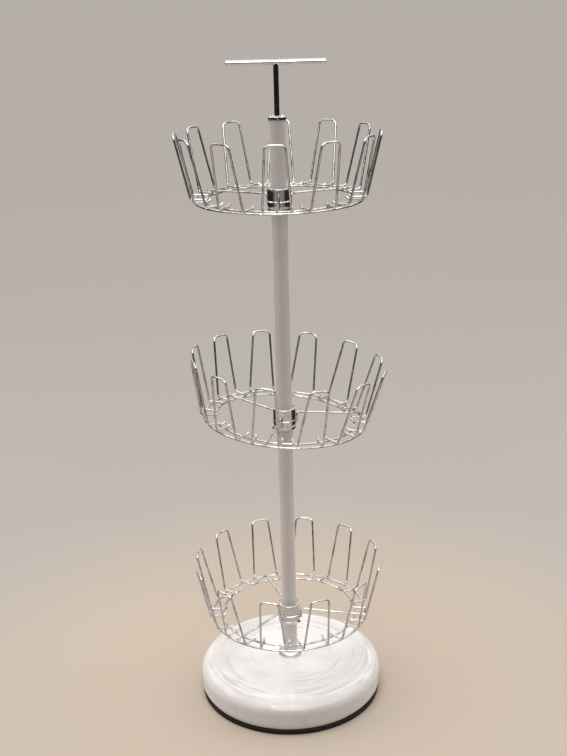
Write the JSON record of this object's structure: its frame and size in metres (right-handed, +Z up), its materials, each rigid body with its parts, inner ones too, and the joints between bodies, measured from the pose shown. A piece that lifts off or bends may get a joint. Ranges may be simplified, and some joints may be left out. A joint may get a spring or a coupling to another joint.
{
  "type": "rotating shoe tower",
  "caption": "Free-standing rotating shoe tower: a round weighted base, an upright pole with a T-shaped carrying handle, and tiers of flared chrome wire loops that turn on the pole.",
  "frame": {"origin": "centre of the underside of the base, on the pole's axis, where the tower stands on the floor", "axes": "+Z up along the pole; the handle's crossbar lies along X; +Y points to the back"},
  "size_m": [0.316, 0.3102, 1.0403],
  "materials": {
    "white_shell": "glossy, faintly scuffed",
    "black_plate": "matt",
    "weight": "rough cast",
    "steel": "plain zinc-plated",
    "dark_screw": "blackened",
    "white_plastic": "smooth moulded",
    "pole_paint": "satin, pale warm grey",
    "chrome": "polished",
    "chrome_wire": "bright plated wire"
  },
  "bodies": {
    "stand": {"base_bolt": "steel", "base_cover": "white_shell", "base_plate": "black_plate", "base_washer": "steel", "base_weight": "weight", "collar_screws": "dark_screw", "foot_flange": "chrome", "foot_plug": "steel", "handle_bar": "chrome", "handle_rod": "chrome", "pole_cap": "chrome", "pole_foot_tube": "pole_paint", "pole_lower_tube": "pole_paint", "pole_top_tube": "pole_paint", "pole_upper_tube": "pole_paint", "slip_washer_low": "white_plastic", "slip_washer_middle": "white_plastic", "slip_washer_top": "white_plastic", "stop_collar_low": "chrome", "stop_collar_middle": "chrome", "stop_collar_top": "chrome", "top_plug": "steel", "tube_joiner_low": "steel", "tube_joiner_middle": "steel", "tube_joiner_top": "steel"},
    "tier_low": {"hub_sleeve_low": "chrome", "hub_bush_low": "white_plastic", "outer_ring_low": "chrome_wire", "inner_ring_low": "chrome_wire", "spokes_low": "chrome_wire", "loop_pair_low_1": "chrome_wire", "loop_pair_low_2": "chrome_wire", "loop_pair_low_3": "chrome_wire", "loop_pair_low_4": "chrome_wire", "loop_pair_low_5": "chrome_wire", "loop_pair_low_6": "chrome_wire"},
    "tier_middle": {"hub_sleeve_middle": "chrome", "hub_bush_middle": "white_plastic", "outer_ring_middle": "chrome_wire", "inner_ring_middle": "chrome_wire", "spokes_middle": "chrome_wire", "loop_pair_middle_1": "chrome_wire", "loop_pair_middle_2": "chrome_wire", "loop_pair_middle_3": "chrome_wire", "loop_pair_middle_4": "chrome_wire", "loop_pair_middle_5": "chrome_wire", "loop_pair_middle_6": "chrome_wire"},
    "tier_top": {"hub_sleeve_top": "chrome", "hub_bush_top": "white_plastic", "outer_ring_top": "chrome_wire", "inner_ring_top": "chrome_wire", "spokes_top": "chrome_wire", "loop_pair_top_1": "chrome_wire", "loop_pair_top_2": "chrome_wire", "loop_pair_top_3": "chrome_wire", "loop_pair_top_4": "chrome_wire", "loop_pair_top_5": "chrome_wire", "loop_pair_top_6": "chrome_wire"}
  },
  "joints": [
    {"name": "tier_low_turn", "type": "hinge", "parent": "stand", "child": "tier_low", "pos_m": [0, 0, 0.141], "axis": [0, 0, 1], "continuous": true},
    {"name": "tier_middle_turn", "type": "hinge", "parent": "stand", "child": "tier_middle", "pos_m": [0, 0, 0.49], "axis": [0, 0, 1], "continuous": true},
    {"name": "tier_top_turn", "type": "hinge", "parent": "stand", "child": "tier_top", "pos_m": [0, 0, 0.839], "axis": [0, 0, 1], "continuous": true}
  ]
}
